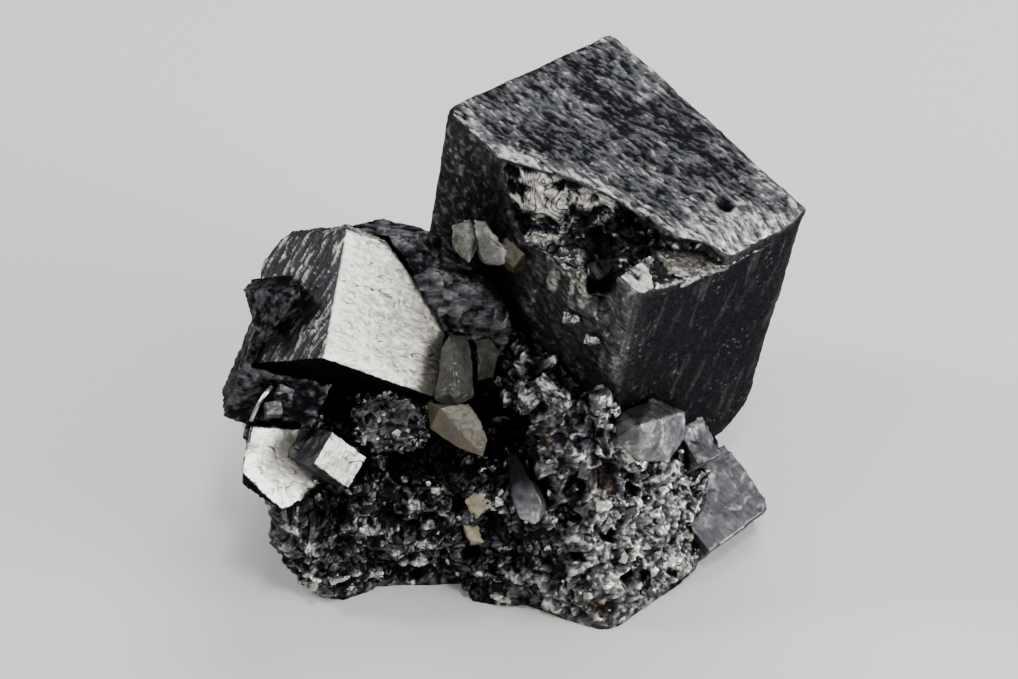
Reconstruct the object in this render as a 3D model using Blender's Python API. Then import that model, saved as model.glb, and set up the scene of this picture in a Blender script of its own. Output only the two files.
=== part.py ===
"""Acanthite specimen: cube crystals of silver sulphide grown on a lump of drusy matrix.

The row frame has its origin on the surface that the specimen rests on, under the middle of its
bounding box. +X is to the right, +Y to the back and +Z up. Sizes are in millimetres here and
become metres when an object is made. Each crystal is one closed solid. The matrix is cut round
every crystal with a small gap, so each sits in its own socket, and a crystal that grows into one
listed before it gives way to it in the same manner.
"""

import math
import random

import bmesh
import bpy
from mathutils import Euler, Vector

MM = 0.001
GAP = 0.3  # clearance kept between two grown-together pieces
ROUGHNESS_OF_LUMPS = 0.35  # how far a lump's subdivided corners stray from its flat faces
LUMP_SEED = 7

# slot: sRGB colour, metallic, roughness
FINISHES = {
    "acanthite_dark": ((0.25, 0.26, 0.28), 1.0, 0.35),
    "acanthite_bright": ((0.52, 0.52, 0.51), 1.0, 0.4),
    "matrix_druse": ((0.2, 0.2, 0.21), 0.8, 0.45),
    "quartz_smoky": ((0.42, 0.4, 0.37), 0.0, 0.25),
    "quartz_tan": ((0.5, 0.42, 0.32), 0.0, 0.4),
    "calcite_cream": ((0.72, 0.68, 0.52), 0.0, 0.5),
    "silver_wire": ((0.8, 0.79, 0.76), 1.0, 0.25),
}

# name: (slot, centre, edge lengths, turn in degrees, cuts). A cut is a direction in the crystal's own
# axes and the distance of that face from the centre.
CRYSTALS = {
    "large_cube": (
        "acanthite_dark",
        (5.5, 2.1, 14.6),
        (17.7, 13.0, 19.3),
        (-1.0, 11.0, -50.5),
        [
            ((1, 1, -1), 13.2),
            ((-1, 1, 0), 10.45),
            ((-1, -1, 0), 10.65),
            ((-1, -1, 1), 14.0),
            ((1, -1, 0), 10.6),
        ],
    ),
    "left_cube": (
        "acanthite_bright",
        (-9.3, -3.4, 15.7),
        (8.8, 7.4, 8.3),
        (-41.0, 38.5, 24.0),
        [((0.38, -0.6, 0.7), 4.3), ((0, -0.5, 0.87), 4.98), ((-1, 1, 1), 5.8), ((-1, 0, 1), 5.6)],
    ),
    "lower_left_cube": (
        "acanthite_bright",
        (-14.2, -9.6, 9.3),
        (5.6, 3.0, 5.2),
        (-41.0, 38.5, 24.0),
        [
            ((-0.22, 0, 1), 2.2),
            ((-0.42, 0, -1), 2.2),
            ((0.59, 0, -1), 2.5),
            ((-1, 1, 0), 1.0),
            ((0, 1, -1), 0.9),
        ],
    ),
    "right_prism": (
        "acanthite_dark",
        (11.9, -5.0, 1.2),
        (4.8, 5.4, 5.5),
        (6.0, 32.0, -45.0),
        [((1, 1, 1), 4.1)],
    ),
    "upper_left_block": (
        "acanthite_dark",
        (-13.6, -5.2, 12.2),
        (5.2, 5.4, 5.6),
        (62.0, 23.0, -5.0),
        [((1, 1, 1), 4.2), ((-1, 1, 1), 4.3)],
    ),
    "lower_left_prism": ("acanthite_bright", (-11.4, -9.4, 10.0), (3.0, 2.2, 5.6), (49.0, 49.0, 8.0), []),
    "right_chip": ("acanthite_dark", (11.0, -6.5, 8.0), (2.6, 1.8, 2.5), (2.0, 36.0, -56.0), []),
    "sparkly_nodule": (
        "acanthite_dark",
        (-7.0, -6.8, 10.5),
        (4.0, 3.4, 3.4),
        (56.0, 0.0, 0.0),
        [((1, 1, 1), 2.35), ((-1, 1, 1), 2.3), ((1, -1, 1), 2.3), ((-1, -1, 1), 2.35)],
    ),
    "ridge_chip_tan": ("quartz_tan", (0.1, -3.0, 19.7), (1.6, 1.1, 1.6), (28.0, 18.0, -42.0), []),
    "tongue_crystal": (
        "acanthite_dark",
        (0.9, -11.0, 8.7),
        (4.2, 1.5, 1.8),
        (29.0, 36.0, -63.0),
        [((1, 1, 0), 1.7), ((1, -1, 0), 1.7)],
    ),
    "bright_blade_right": ("acanthite_bright", (2.5, -9.2, 14.4), (2.4, 0.8, 1.6), (21.0, 21.0, -43.0), []),
    "bright_blade_left": ("acanthite_bright", (1.4, -8.9, 13.8), (1.6, 0.8, 1.6), (35.0, -13.0, 37.0), []),
    "bright_facet_low": (
        "acanthite_bright",
        (5.5, -7.3, 17.0),
        (2.0, 1.4, 1.0),
        (-41.0, 38.5, 24.0),
        [((1, -1, 1), 0.9)],
    ),
    "bright_facet_high": (
        "acanthite_bright",
        (4.2, -5.8, 17.7),
        (1.6, 1.4, 1.6),
        (-41.0, 38.5, 24.0),
        [((-1, -1, 1), 1.0)],
    ),
    "cubelet_left": ("acanthite_bright", (-13.7, -9.0, 13.1), (1.0, 0.9, 1.4), (39.0, 4.0, 14.0), []),
    "cubelet_right": ("acanthite_bright", (-13.1, -8.2, 13.6), (1.0, 0.8, 1.4), (35.0, 24.0, -3.0), []),
    "calcite_bit_upper": ("calcite_cream", (-1.9, -9.9, 6.4), (1.1, 0.8, 1.0), (23.0, 32.0, -41.0), []),
    "calcite_bit_lower": ("calcite_cream", (-2.2, -10.2, 4.3), (1.4, 0.8, 0.9), (10.0, 38.0, -65.0), []),
}

# name: (slot, corners). Crystals whose faces don't square up, as the corners of a convex body.
SHARDS = {
    "bridge_crystal": (
        "acanthite_dark",
        [
            (-7.9, 0.6, 19.7),
            (-4.6, -0.4, 19.7),
            (-3.4, -0.1, 18.8),
            (-0.2, -3.0, 16.6),
            (0.3, -4.3, 15.0),
            (-1.0, -5.2, 13.0),
            (-3.3, -4.6, 13.6),
            (-3.4, -3.8, 15.0),
            (-5.1, -3.4, 17.5),
            (-6.3, -3.1, 19.1),
            (-7.2, -3.0, 20.2),
            (-9.4, -0.4, 20.0),
            (-6.7, 4.4, 14.8),
            (-1.2, 0.2, 11.4),
        ],
    ),
    "left_spur": (
        "acanthite_dark",
        [
            (-15.4, -4.8, 18.7),
            (-11.8, -7.3, 20.6),
            (-14.4, -7.8, 16.8),
            (-15.2, -2.0, 17.3),
            (-12.6, -3.8, 19.1),
            (-14.4, -3.2, 14.3),
            (-12.1, -6.3, 16.9),
        ],
    ),
    "slab_crystal": (
        "acanthite_dark",
        [
            (6.0, -7.8, 12.7),
            (8.3, -6.9, 12.3),
            (10.4, -6.7, 10.9),
            (10.5, -7.8, 9.7),
            (9.4, -9.4, 9.3),
            (7.6, -10.5, 10.3),
            (6.2, -10.2, 11.8),
            (7.6, -9.8, 12.7),
            (6.7, -4.4, 9.0),
            (10.4, -4.0, 7.9),
            (9.1, -6.1, 7.0),
        ],
    ),
    "smoky_prism": (
        "quartz_smoky",
        [
            (-4.0, -5.7, 14.9),
            (-3.5, -4.8, 15.4),
            (-2.5, -4.9, 15.3),
            (-2.2, -5.7, 14.8),
            (-2.4, -6.8, 13.9),
            (-2.0, -7.8, 13.0),
            (-3.3, -8.6, 12.7),
            (-4.4, -8.4, 13.3),
            (-4.1, -7.3, 14.3),
            (-3.3, -6.6, 15.5),
            (-3.1, -8.5, 14.2),
            (-3.8, -3.0, 13.0),
            (-2.3, -3.2, 12.8),
            (-2.9, -5.1, 10.5),
        ],
    ),
    "grey_crystal": (
        "quartz_smoky",
        [
            (-2.4, -5.0, 14.8),
            (-1.2, -4.6, 15.0),
            (-0.5, -5.1, 14.2),
            (-0.9, -6.0, 13.0),
            (-2.2, -6.8, 13.3),
            (-1.6, -6.4, 14.7),
            (-2.3, -2.6, 12.7),
            (-0.8, -2.8, 12.4),
            (-1.7, -4.0, 11.1),
        ],
    ),
    "tan_wedge": (
        "quartz_tan",
        [
            (-4.8, -8.6, 13.4),
            (-2.4, -8.5, 13.3),
            (-1.6, -8.9, 12.1),
            (-1.2, -9.3, 11.0),
            (-1.5, -9.9, 10.1),
            (-3.1, -10.0, 11.1),
            (-4.6, -9.7, 12.2),
            (-4.0, -9.6, 13.8),
            (-4.3, -6.1, 10.9),
            (-2.3, -6.1, 10.9),
            (-1.7, -7.4, 9.3),
            (-3.5, -7.4, 9.3),
        ],
    ),
    "ridge_chip_left": (
        "quartz_smoky",
        [
            (-3.3, -2.0, 21.2),
            (-2.3, -1.6, 21.4),
            (-1.6, -3.0, 20.9),
            (-2.3, -4.0, 20.1),
            (-3.3, -3.2, 20.4),
            (-2.5, -3.7, 21.4),
            (-3.2, 1.0, 18.6),
            (-1.8, 0.8, 18.3),
            (-2.6, -0.2, 17.1),
        ],
    ),
    "ridge_chip_middle": (
        "quartz_smoky",
        [
            (-2.1, -2.1, 21.8),
            (-1.3, -2.3, 21.8),
            (-0.1, -3.8, 20.7),
            (-0.2, -4.3, 20.1),
            (-1.4, -4.3, 20.3),
            (-2.0, -3.6, 21.4),
            (-1.1, -4.0, 21.7),
            (-1.7, 1.2, 18.8),
            (-0.5, 0.2, 17.7),
            (-1.7, -0.2, 17.1),
        ],
    ),
}

# Hollows weathered out of the large cube's front corner, as corners of convex bodies in its own axes.
HOLLOWS = {
    "scoop": [
        (-4.8, -7.2, 10.5),
        (-4.8, -7.2, 9.0),
        (-2.0, -5.3, 10.5),
        (-2.0, -5.4, 9.0),
        (0.4, -3.3, 10.5),
        (0.4, -3.5, 8.9),
        (4.0, -2.2, 10.5),
        (4.0, -2.3, 8.8),
        (6.5, -1.6, 10.5),
        (6.5, -1.6, 8.6),
        (6.9, -7.2, 10.5),
        (6.9, -7.2, 8.4),
        (-2.3, -7.2, 4.8),
        (0.8, -7.2, 6.7),
        (4.2, -7.2, 7.8),
    ],
    "ledge": [
        (5.8, -2.4, 10.5),
        (5.8, -2.4, 8.4),
        (7.4, -4.9, 10.5),
        (7.8, -4.9, 9.3),
        (9.8, -5.6, 10.5),
        (9.8, -5.6, 9.6),
        (9.8, -3.0, 9.0),
        (9.8, -0.8, 8.3),
        (9.8, 1.4, 8.1),
        (9.8, 1.8, 10.5),
        (8.0, -0.9, 10.5),
        (8.0, -1.0, 8.3),
    ],
    "undercut": [
        (1.0, -2.4, 8.95),
        (2.5, -0.6, 8.95),
        (4.5, 0.7, 8.95),
        (6.8, 1.0, 8.9),
        (9.8, 2.6, 8.8),
        (9.8, 5.0, 8.7),
        (9.8, -3.2, 8.6),
        (6.8, 0.8, 8.2),
        (4.2, 0.2, 7.5),
        (2.0, -1.6, 7.6),
        (3.0, -4.0, 7.8),
        (6.5, -3.4, 7.9),
    ],
    "slot": [
        (4.4, -7.2, 10.0),
        (7.0, -7.2, 10.0),
        (4.9, -7.2, 6.6),
        (7.2, -7.2, 7.0),
        (6.3, -7.2, 5.2),
        (4.2, -1.8, 10.0),
        (6.6, -1.8, 10.0),
        (5.0, -2.2, 6.4),
        (6.6, -2.2, 6.4),
    ],
}

# The lumps that are joined into the matrix, as corners of convex bodies. A corner below 0 is trimmed off.
LUMPS = {
    "core": [
        (-11.0, -9.0, -2.0),
        (5.0, -10.5, -2.0),
        (12.0, -7.0, -2.0),
        (14.0, 1.0, -2.0),
        (11.0, 9.0, -2.0),
        (3.0, 12.5, -2.0),
        (-6.0, 11.0, -2.0),
        (-13.0, 5.0, -2.0),
        (-14.0, -4.0, -2.0),
        (-12.0, -6.0, 5.0),
        (6.0, -8.5, 5.5),
        (12.5, -2.0, 5.0),
        (10.0, 7.5, 7.0),
        (2.0, 11.0, 8.0),
        (-6.0, 9.0, 8.5),
        (-12.5, 3.0, 8.0),
    ],
    "right_mass": [
        (2.0, -9.2, 14.0),
        (4.8, -9.0, 14.4),
        (7.6, -8.2, 12.4),
        (10.8, -6.6, 9.6),
        (12.0, -6.4, 6.3),
        (11.6, -8.0, -1.0),
        (6.3, -14.2, -1.0),
        (2.8, -12.0, -1.0),
        (-0.2, -10.9, -1.0),
        (0.9, -9.9, 9.0),
        (1.5, -11.5, 5.9),
        (3.1, -2.0, 8.5),
        (10.5, -1.0, 5.0),
    ],
    "front_lobe": [
        (-3.1, -10.6, 2.7),
        (-1.9, -11.2, -1.0),
        (2.4, -11.8, -1.0),
        (5.0, -12.2, 4.0),
        (1.2, -10.6, 7.0),
        (-2.3, -9.2, 6.1),
        (-3.2, -8.0, 7.6),
        (-0.5, -6.0, 7.9),
        (0.0, -3.0, -1.0),
    ],
    "middle": [
        (-8.6, -9.6, 8.6),
        (-6.4, -8.6, 9.4),
        (-2.3, -8.2, 8.6),
        (-1.6, -9.6, 5.1),
        (-2.8, -9.4, -1.0),
        (-6.0, -9.2, -1.0),
        (-8.4, -10.0, -1.0),
        (-8.9, -10.2, 5.6),
        (-7.0, -3.0, 6.0),
        (-2.0, -3.0, 6.0),
    ],
    "left_column": [
        (-13.4, -11.4, 7.2),
        (-10.4, -11.8, 8.2),
        (-8.2, -10.6, 8.6),
        (-7.7, -10.0, 2.1),
        (-9.6, -11.3, -1.0),
        (-12.4, -11.0, 1.5),
        (-13.5, -10.8, 4.2),
        (-12.7, -6.0, 5.6),
        (-7.9, -4.5, 4.2),
        (-10.6, -6.0, -1.0),
    ],
    "left_back": [
        (-14.6, -3.0, 12.4),
        (-15.4, -5.2, 11.0),
        (-15.2, -7.8, 9.7),
        (-14.2, -9.3, 6.0),
        (-10.5, -8.6, 10.4),
        (-5.2, -6.6, 12.0),
        (-2.0, -4.0, 13.5),
        (-3.0, 3.0, 14.5),
        (-9.0, 4.0, 13.5),
        (-14.0, 1.0, 12.0),
        (-14.0, 2.0, 3.0),
        (-2.0, 3.0, 3.0),
    ],
    "crest": [
        (-0.4, -3.5, 13.6),
        (1.1, -4.7, 13.2),
        (2.4, -6.4, 13.6),
        (3.6, -8.2, 13.8),
        (4.4, -8.9, 12.6),
        (2.1, -8.9, 12.6),
        (-0.5, -6.8, 12.3),
        (-1.7, -4.5, 13.0),
        (0.7, -1.8, 7.5),
        (6.8, -4.0, 9.0),
        (-0.6, 3.0, 12.0),
    ],
    "back_shoulder": [
        (-8.0, 2.0, 8.0),
        (-1.0, 0.0, 14.5),
        (-3.0, 6.0, 13.0),
        (3.0, 11.0, 10.0),
        (0.0, 11.5, 5.0),
        (-8.0, 8.0, 6.0),
        (4.0, 2.0, 6.0),
        (8.0, 9.5, 6.0),
    ],
}

WIRE_THICKNESS = 0.24
WIRE_PATH = [(-13.8, -8.0, 14.0), (-14.2, -8.5, 13.9), (-14.7, -9.0, 13.3), (-15.0, -9.3, 12.5)]


def finish(slot):
    """The Principled material of a slot, made once."""
    found = bpy.data.materials.get(slot)
    if found:
        return found
    colour, metallic, roughness = FINISHES[slot]
    made = bpy.data.materials.new(slot)
    made.use_nodes = True
    shader = made.node_tree.nodes["Principled BSDF"]
    shader.inputs["Base Color"].default_value = (*(c**2.2 for c in colour), 1.0)
    shader.inputs["Metallic"].default_value = metallic
    shader.inputs["Roughness"].default_value = roughness
    return made


def make_object(bm, name):
    """Turns a bmesh in millimetres into an object whose normals face outwards."""
    bmesh.ops.recalc_face_normals(bm, faces=bm.faces)
    bmesh.ops.scale(bm, vec=Vector((MM, MM, MM)), verts=bm.verts)
    mesh = bpy.data.meshes.new(name)
    bm.to_mesh(mesh)
    bm.free()
    made = bpy.data.objects.new(name, mesh)
    bpy.context.scene.collection.objects.link(made)
    return made


def put(made, centre, turn):
    """Moves and turns an object to its place in the row frame."""
    made.location = Vector(centre) * MM
    made.rotation_euler = Euler([math.radians(a) for a in turn])


def as_cutter(made):
    """Marks an object as a helper that isn't part of the specimen."""
    made.hide_render = True
    made.display_type = "WIRE"


def boolean(made, other, operation):
    """Adds an exact Boolean of another object."""
    modifier = made.modifiers.new(f"{operation.lower()} {other.name}", "BOOLEAN")
    modifier.object = other
    modifier.operation = operation
    modifier.solver = "EXACT"


def crystal_mesh(size, cuts, grow=0.0):
    """A cube crystal with its truncating faces, larger by grow on every face."""
    bm = bmesh.new()
    bmesh.ops.create_cube(bm, size=1.0)
    bmesh.ops.scale(bm, vec=Vector([s + 2 * grow for s in size]), verts=bm.verts)
    for direction, distance in cuts:
        normal = Vector(direction).normalized()
        everything = bm.verts[:] + bm.edges[:] + bm.faces[:]
        cut = bmesh.ops.bisect_plane(
            bm,
            geom=everything,
            plane_co=normal * (distance + grow),
            plane_no=normal,
            clear_outer=True,
        )
        rim = [g for g in cut["geom_cut"] if isinstance(g, bmesh.types.BMEdge)]
        if rim:
            bmesh.ops.holes_fill(bm, edges=rim)
    return bm


def hull_mesh(corners):
    """The convex body round a list of corners."""
    bm = bmesh.new()
    for corner in corners:
        bm.verts.new(corner)
    hull = bmesh.ops.convex_hull(bm, input=bm.verts)
    inside = [g for g in hull["geom_interior"] if isinstance(g, bmesh.types.BMVert)]
    bmesh.ops.delete(bm, geom=inside, context="VERTS")
    return bm


def lump_mesh(corners, seed):
    """A convex body with its faces broken up a little, like broken stone."""
    bm = hull_mesh(corners)
    bmesh.ops.subdivide_edges(bm, edges=bm.edges, cuts=1, use_grid_fill=True)
    bmesh.ops.triangulate(bm, faces=bm.faces)
    chance = random.Random(seed)
    for vert in bm.verts:
        stray = Vector([chance.uniform(-1, 1) for _ in range(3)])
        vert.co += stray * ROUGHNESS_OF_LUMPS
    return bm


def grown_corners(corners, grow):
    """The corners of a convex body, moved out so that its faces lie at least about grow further out."""
    middle = sum((Vector(c) for c in corners), Vector()) / len(corners)
    outward = [Vector(c) - middle for c in corners]
    return [middle + v + v.normalized() * grow * 1.6 for v in outward]


def settle(made):
    """Fixes an object's shape with its Booleans done, leaving out any crumb cut loose by them."""
    graph = bpy.context.evaluated_depsgraph_get()
    mesh = bpy.data.meshes.new_from_object(made.evaluated_get(graph))
    bm = bmesh.new()
    bm.from_mesh(mesh)
    bodies = []
    waiting = set(bm.verts)
    while waiting:
        body = set()
        front = {waiting.pop()}
        while front:
            body |= front
            front = {e.other_vert(v) for v in front for e in v.link_edges} - body
        waiting -= body
        bodies.append(body)
    main_body = max(bodies, key=len)
    crumbs = [v for v in bm.verts if v not in main_body]
    bmesh.ops.delete(bm, geom=crumbs, context="VERTS")
    bm.to_mesh(mesh)
    bm.free()
    made.modifiers.clear()
    made.data = mesh


def middle_and_reach(made):
    """The middle of an object's corners and how far the furthest is from it, in metres."""
    corners = [made.matrix_basis @ v.co for v in made.data.vertices]
    middle = sum(corners, Vector()) / len(corners)
    return middle, max((c - middle).length for c in corners)


def give_way(crystal, sockets):
    """Cuts a crystal back from the earlier ones that it could touch."""
    middle, reach = middle_and_reach(crystal)
    for socket in sockets:
        other_middle, other_reach = middle_and_reach(socket)
        if (middle - other_middle).length < reach + other_reach:
            boolean(crystal, socket, "DIFFERENCE")


def make_crystals():
    """Every crystal, and for each a hidden copy grown by the gap. Returns the hidden copies."""
    sockets = []
    for name, (slot, centre, size, turn, cuts) in CRYSTALS.items():
        crystal = make_object(crystal_mesh(size, cuts), name)
        socket = make_object(crystal_mesh(size, cuts, GAP), f"{name}_socket")
        crystal.data.materials.append(finish(slot))
        put(crystal, centre, turn)
        put(socket, centre, turn)
        as_cutter(socket)
        give_way(crystal, sockets)
        sockets.append(socket)
    for name, (slot, corners) in SHARDS.items():
        crystal = make_object(hull_mesh(corners), name)
        socket = make_object(hull_mesh(grown_corners(corners, GAP)), f"{name}_socket")
        crystal.data.materials.append(finish(slot))
        as_cutter(socket)
        give_way(crystal, sockets)
        sockets.append(socket)
    return sockets


def hollow_large_cube():
    """Cuts the weathered hollows out of the large cube's front corner."""
    cube = bpy.data.objects["large_cube"]
    for name, corners in HOLLOWS.items():
        cutter = make_object(hull_mesh(corners), f"large_cube_{name}")
        cutter.parent = cube
        as_cutter(cutter)
        boolean(cube, cutter, "DIFFERENCE")


def make_matrix(sockets):
    """The lumps joined into one solid, with a socket for every crystal. Returns it.

    The prism at the right reaches the base, so it is trimmed flat with the matrix.
    """
    matrix = None
    for number, (name, corners) in enumerate(LUMPS.items()):
        lump = make_object(lump_mesh(corners, LUMP_SEED + number), name)
        put(lump, (0, 0, 0), (0, 0, 0))
        if matrix is None:
            matrix = lump
            matrix.name = "matrix"
            matrix.data.materials.append(finish("matrix_druse"))
        else:
            as_cutter(lump)
            boolean(matrix, lump, "UNION")
    below = make_object(crystal_mesh((60, 60, 20), []), "below_base")
    put(below, (0, 0, -10), (0, 0, 0))
    as_cutter(below)
    boolean(matrix, below, "DIFFERENCE")
    boolean(bpy.data.objects["right_prism"], below, "DIFFERENCE")
    for socket in sockets:
        boolean(matrix, socket, "DIFFERENCE")
    return matrix


def make_wire():
    """The short curl of native silver above the cubelets."""
    curve = bpy.data.curves.new("silver_wire", "CURVE")
    curve.dimensions = "3D"
    curve.bevel_depth = WIRE_THICKNESS / 2 * MM
    curve.bevel_resolution = 1
    curve.resolution_u = 3
    curve.use_fill_caps = True
    spline = curve.splines.new("NURBS")
    spline.points.add(len(WIRE_PATH) - 1)
    for point, place in zip(spline.points, WIRE_PATH):
        point.co = (*(Vector(place) * MM), 1.0)
    spline.order_u = 4
    spline.use_endpoint_u = True
    curve.materials.append(finish("silver_wire"))
    wire = bpy.data.objects.new("silver_wire", curve)
    bpy.context.scene.collection.objects.link(wire)


def main():
    for old in list(bpy.data.objects):
        bpy.data.objects.remove(old)
    sockets = make_crystals()
    hollow_large_cube()
    matrix = make_matrix(sockets)
    for name in [*CRYSTALS, *SHARDS]:
        settle(bpy.data.objects[name])
    settle(matrix)
    make_wire()


main()
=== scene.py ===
"""Acanthite specimen: black silver sulphide cubes on a drusy matrix, as a Blender add-on.

Every piece but the silver wire starts from its solid in the frame. The solid is remeshed finely in
the crystal's own axes, and then its skin is worked as the real one grew and weathered: worn edges,
growth lines, pits, hackly hollows. Lengths in the worked skins are in millimetres, and the numbers
that the noise patterns end with are seeds.
"""

import itertools
import math
import random

import bmesh
import bpy
import numpy as np
from bpy.props import FloatProperty, FloatVectorProperty, IntProperty, PointerProperty
from mathutils import Euler, Matrix, Vector


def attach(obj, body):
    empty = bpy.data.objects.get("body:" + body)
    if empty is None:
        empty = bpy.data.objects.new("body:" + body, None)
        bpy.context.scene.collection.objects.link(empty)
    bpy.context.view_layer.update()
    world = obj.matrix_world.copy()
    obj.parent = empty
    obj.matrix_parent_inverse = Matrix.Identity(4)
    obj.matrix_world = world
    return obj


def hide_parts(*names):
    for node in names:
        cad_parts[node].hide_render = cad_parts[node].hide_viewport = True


bl_info = {
    "name": "Acanthite specimen",
    "version": (1, 0, 0),
    "blender": (4, 5, 0),
    "location": "View3D > Sidebar > Acanthite",
    "description": "Builds an acanthite crystal specimen on its drusy matrix",
    "category": "Object",
}

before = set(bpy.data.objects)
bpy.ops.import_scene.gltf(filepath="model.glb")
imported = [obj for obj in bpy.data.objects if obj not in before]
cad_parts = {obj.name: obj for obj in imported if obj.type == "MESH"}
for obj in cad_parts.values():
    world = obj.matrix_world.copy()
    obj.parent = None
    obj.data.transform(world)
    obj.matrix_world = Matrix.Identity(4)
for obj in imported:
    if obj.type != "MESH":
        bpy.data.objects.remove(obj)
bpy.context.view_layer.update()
MM = 0.001

# How each crystal lies: its own axes, turned from the row frame, in degrees.
TURNS = {
    "large_cube": (-1, 11, -50.5),
    "left_cube": (-41, 38.5, 24),
    "lower_left_cube": (-41, 38.5, 24),
    "right_prism": (6, 32, -45),
    "upper_left_block": (62, 23, -5),
    "lower_left_prism": (49, 49, 8),
    "right_chip": (2, 36, -56),
    "sparkly_nodule": (56, 0, 0),
    "ridge_chip_tan": (28, 18, -42),
    "tongue_crystal": (29, 36, -63),
    "bright_blade_right": (21, 21, -43),
    "bright_blade_left": (35, -13, 37),
    "bright_facet_low": (-41, 38.5, 24),
    "bright_facet_high": (-41, 38.5, 24),
    "cubelet_left": (39, 4, 14),
    "cubelet_right": (35, 24, -3),
    "calcite_bit_upper": (23, 32, -41),
    "calcite_bit_lower": (10, 38, -65),
}
# Each whole cube's middle in the row frame, and half its edges, in millimetres. The large cube's
# middle is the one it had before its front corner weathered away.
LARGE_CENTRE = np.array((5.5, 2.1, 14.6))
LARGE_HALF = np.array((8.85, 6.5, 9.65))
LEFT_CENTRE = np.array((-9.3, -3.4, 15.7))
LEFT_HALF = np.array((4.4, 3.7, 4.15))
PLATE_CENTRE = np.array((-14.2, -9.6, 9.3))
PLATE_HALF = np.array((2.8, 1.5, 2.6))
# The lip of the large cube's top over the hollow, as places along its X and Y.
LIP_X = (-8.9, -4.2, -1.8, 0.4, 2.0, 3.9, 6.6, 8.0, 8.9)
LIP_Y = (-6.5, -6.2, -4.7, -3.1, -3.0, -2.3, -1.6, -0.9, 1.0)
TOP_Z = 9.65  # its top face
# The deep cleft that runs down the hollow's front, sunk in and painted black as shade: (place, radius) in
# the large cube's axes.
CLEFT = (
    ((2.7, -3.8, 7.2), 0.7),
    ((3.6, -4.6, 7.3), 0.75),
    ((4.4, -5.3, 7.2), 0.85),
    ((4.9, -5.4, 6.5), 0.9),
    ((5.5, -6.0, 5.9), 0.75),
)


def linear(hex_colour):
    """An sRGB hex colour as linear RGBA."""
    parts = [int(hex_colour[i : i + 2], 16) / 255 for i in (1, 3, 5)]
    return [c / 12.92 if c <= 0.04045 else ((c + 0.055) / 1.055) ** 2.4 for c in parts] + [1.0]


class AcanthiteSizes(bpy.types.PropertyGroup):
    """The sizes that shape the worked skins."""

    fine_grain: FloatProperty(
        name="Fine grain",
        description="Mesh size of the large faces",
        default=0.00014,
        subtype="DISTANCE",
        unit="LENGTH",
    )
    matrix_grain: FloatProperty(
        name="Matrix grain",
        description="Mesh size of the druse",
        default=0.00011,
        subtype="DISTANCE",
        unit="LENGTH",
    )
    edge_wear: FloatProperty(
        name="Edge wear",
        description="How far the cube edges are rubbed back",
        default=0.00022,
        subtype="DISTANCE",
        unit="LENGTH",
    )
    matrix_swell: FloatProperty(
        name="Matrix swell",
        description="How far the matrix grows up to the crystals in it",
        default=0.00034,
        subtype="DISTANCE",
        unit="LENGTH",
    )
    druse_crystals: IntProperty(
        name="Druse crystals",
        description="Tries at a tiny crystal on each stretch of the matrix",
        default=1300,
    )
    druse_seed: IntProperty(
        name="Druse seed",
        description="Chooses another scatter of tiny crystals",
        default=5,
    )


class AcanthiteColours(bpy.types.PropertyGroup):
    """The colours of the metal and of the stage."""

    # The dark end of the metal's colours: black tarnish, and painted shade wherever a skin darkens a place.
    tarnish_and_shade: FloatVectorProperty(
        name="Tarnish",
        description="Black tarnished acanthite",
        default=linear("#141517")[:3],
        size=3,
        subtype="COLOR",
    )
    worn: FloatVectorProperty(
        name="Worn metal",
        description="Acanthite rubbed half bright",
        default=linear("#66676a")[:3],
        size=3,
        subtype="COLOR",
    )
    # The bright end: fresh metal, and painted light, glints and reflections wherever a skin brightens a
    # place.
    fresh: FloatVectorProperty(
        name="Fresh metal",
        description="Bright untarnished acanthite",
        default=linear("#d8d4c9")[:3],
        size=3,
        subtype="COLOR",
    )
    board: FloatVectorProperty(
        name="Board",
        description="The pale board the specimen stands on",
        default=linear("#e6e5e1")[:3],
        size=3,
        subtype="COLOR",
    )


# ---- repeatable patterns over points in millimetres ----


def hashed(cell, seed):
    """A repeatable number from 0 to 1 for each whole-number cell."""
    n = cell[:, 0] * 374761393 + cell[:, 1] * 668265263 + cell[:, 2] * 2246822519 + seed * 1274126177
    n = (n ^ (n >> 13)) * 1103515245
    n = (n ^ (n >> 16)) * 1274126177
    return ((n >> 8) & 0xFFFFF) / 0xFFFFF


def waves(points, seed):
    """Smooth noise from -1 to 1 with about one hump per unit."""
    cell = np.floor(points).astype(np.int64)
    t = points - cell
    t = t * t * (3 - 2 * t)
    total = np.zeros(len(points))
    for corner in itertools.product((0, 1), repeat=3):
        weight = np.prod(np.where(corner, t, 1 - t), axis=1)
        total += weight * hashed(cell + np.array(corner), seed)
    return 2 * total - 1


def rough(points, size, octaves, seed):
    """Noise summed over finer and finer humps, from about -1 to 1.

    size is the largest hump, one length or one for each axis.
    """
    total = np.zeros(len(points))
    for step in range(octaves):
        total += waves(points / np.asarray(size) * 2**step + 17.3 * step, seed + step) / 2**step
    return total / 1.5


def ridges(points, size, octaves, seed):
    """Sharp crests from 0 to 1 with rounded hollows between them."""
    total = np.zeros(len(points))
    for step in range(octaves):
        crest = 1 - np.abs(waves(points / np.asarray(size) * 2**step + 9.1 * step, seed + step))
        total += crest**2 / 2**step
    return total / (2 - 2 ** (1 - octaves))


def cells(points, size, seed):
    """How far off the nearest of scattered points is, in cells, and its own number from 0 to 1."""
    near, name, _ = nearest_cells(points, size, seed)
    return near, name


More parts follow.
